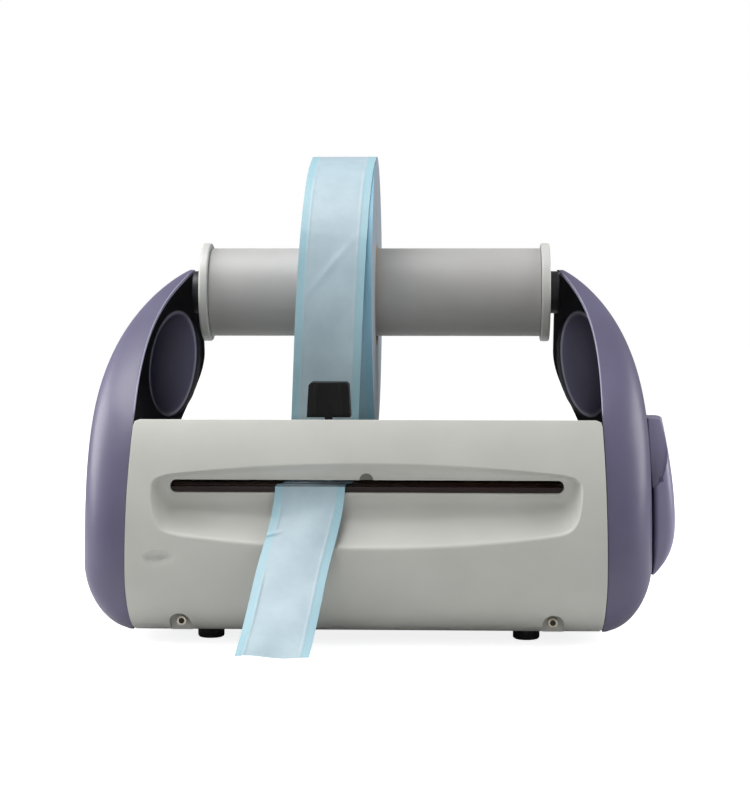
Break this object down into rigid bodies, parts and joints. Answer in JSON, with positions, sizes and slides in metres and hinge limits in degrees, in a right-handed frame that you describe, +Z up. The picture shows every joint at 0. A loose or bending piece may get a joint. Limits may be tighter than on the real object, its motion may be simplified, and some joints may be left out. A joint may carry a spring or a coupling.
{
  "type": "dental pouch sealer",
  "caption": "Benchtop sterilisation pouch sealer: film reel on a roller between two arms, scooped front cover with exit slot, side lever and sliding cutter.",
  "frame": {"origin": "middle of the machine's box with its film, on the surface that it stands on", "axes": "+X to the machine's right as seen from the front, +Y to the back, +Z up"},
  "size_m": [0.4774, 0.4402, 0.3977],
  "materials": {
    "cover_plastic": "satin warm-grey moulded ABS",
    "cheek_plastic": "satin violet-grey moulded ABS",
    "black_plastic": "satin black moulded plastic",
    "foot_rubber": "matt black rubber",
    "cap_plastic": "satin light-grey moulded plastic",
    "roller_finish": "satin grey extruded tube",
    "bright_steel": "bright machined steel",
    "zinc_sheet": "folded zinc-plated sheet",
    "bare_aluminium": "extruded bare aluminium",
    "pouch_film": "pale blue film and paper web with teal seal bands",
    "core_card": "plain wound card",
    "release_tape": "brown woven non-stick tape",
    "pad_silicone": "red-brown silicone",
    "bush_bronze": "sintered bronze",
    "circuit_board": "green circuit board with parts",
    "copper_winding": "lacquered copper winding on a steel core",
    "green_lens": "clear green lens",
    "amber_lens": "clear amber lens"
  },
  "bodies": {
    "housing": {"base_tray": "zinc_sheet", "control_board": "circuit_board", "cutter_rail": "bare_aluminium", "dial_potentiometer": "circuit_board", "film_lead": "pouch_film", "film_table": "black_plastic", "film_tail": "pouch_film", "front_cover": "cover_plastic", "front_left_foot": "foot_rubber", "front_right_foot": "foot_rubber", "fuse_holder": "black_plastic", "heat_lamp": "amber_lens", "left_cheek": "cheek_plastic", "left_cover_screw": "bright_steel", "left_hub": "black_plastic", "left_return_spring": "bright_steel", "left_shaft_bush": "bush_bronze", "left_side_plate": "zinc_sheet", "lower_jaw": "bare_aluminium", "power_inlet": "black_plastic", "power_lamp": "green_lens", "rear_cover": "cover_plastic", "rear_left_foot": "foot_rubber", "rear_right_foot": "foot_rubber", "release_tape": "release_tape", "right_cheek": "cheek_plastic", "right_cover_screw": "bright_steel", "right_hub": "black_plastic", "right_return_spring": "bright_steel", "right_shaft_bush": "bush_bronze", "right_side_plate": "zinc_sheet", "roller_axle": "bright_steel", "switch_frame": "black_plastic", "top_deck": "cover_plastic", "transformer": "copper_winding"},
    "roller": {"roller_tube": "roller_finish", "left_roller_cap": "cap_plastic", "right_roller_cap": "cap_plastic"},
    "reel": {"reel_core": "core_card", "film_reel": "pouch_film"},
    "sealing_lever": {"lever": "cheek_plastic", "lever_screw": "bright_steel", "lever_shaft": "bright_steel", "left_eccentric": "bright_steel", "right_eccentric": "bright_steel"},
    "press": {"press_bar": "bare_aluminium", "silicone_pad": "pad_silicone", "left_pull_yoke": "bright_steel", "right_pull_yoke": "bright_steel"},
    "carriage": {"cutter_carriage": "black_plastic"},
    "cutter": {"cutter_knob": "black_plastic", "cutter_blade": "bright_steel"},
    "rocker": {"power_rocker": "black_plastic"},
    "dial": {"temperature_dial": "black_plastic"}
  },
  "joints": [
    {"name": "reel_spin", "type": "hinge", "parent": "housing", "child": "reel", "pos_m": [-0.03776, 0.09905, 0.2758], "axis": [1, 0, 0], "continuous": true},
    {"name": "roller_spin", "type": "hinge", "parent": "housing", "child": "roller", "pos_m": [-0.01126, 0.09905, 0.278], "axis": [1, 0, 0], "continuous": true},
    {"name": "lever_pull", "type": "hinge", "parent": "housing", "child": "sealing_lever", "pos_m": [0.18874, -0.05395, 0.09], "axis": [1, 0, 0], "range_deg": [0, 35]},
    {"name": "press_slide", "type": "slide", "parent": "housing", "child": "press", "axis": [0, 0, -1], "range_m": [0, 0.0049], "stiffness_N_per_m": 1500, "springref_m": -0.003, "deforming": ["left_return_spring", "right_return_spring"]},
    {"name": "cutter_slide", "type": "slide", "parent": "housing", "child": "carriage", "axis": [1, 0, 0], "range_m": [-0.118, 0.18]},
    {"name": "knob_press", "type": "slide", "parent": "carriage", "child": "cutter", "axis": [0, 0, -1], "range_m": [0, 0.006], "stiffness_N_per_m": 400, "springref_m": -0.004},
    {"name": "rocker_tip", "type": "hinge", "parent": "housing", "child": "rocker", "pos_m": [0.06074, 0.16855, 0.045], "axis": [0, 0, 1], "range_deg": [-14, 0]},
    {"name": "dial_turn", "type": "hinge", "parent": "housing", "child": "dial", "pos_m": [0.11874, 0.07605, 0.15], "axis": [0, 0, 1], "range_deg": [0, 270]}
  ],
  "couplings": [
    {"joint": "roller_spin", "follows": "reel_spin", "ratio": 1.0649},
    {"joint": "lever_pull", "follows": "press_slide", "rad_per_m": 124.6}
  ]
}
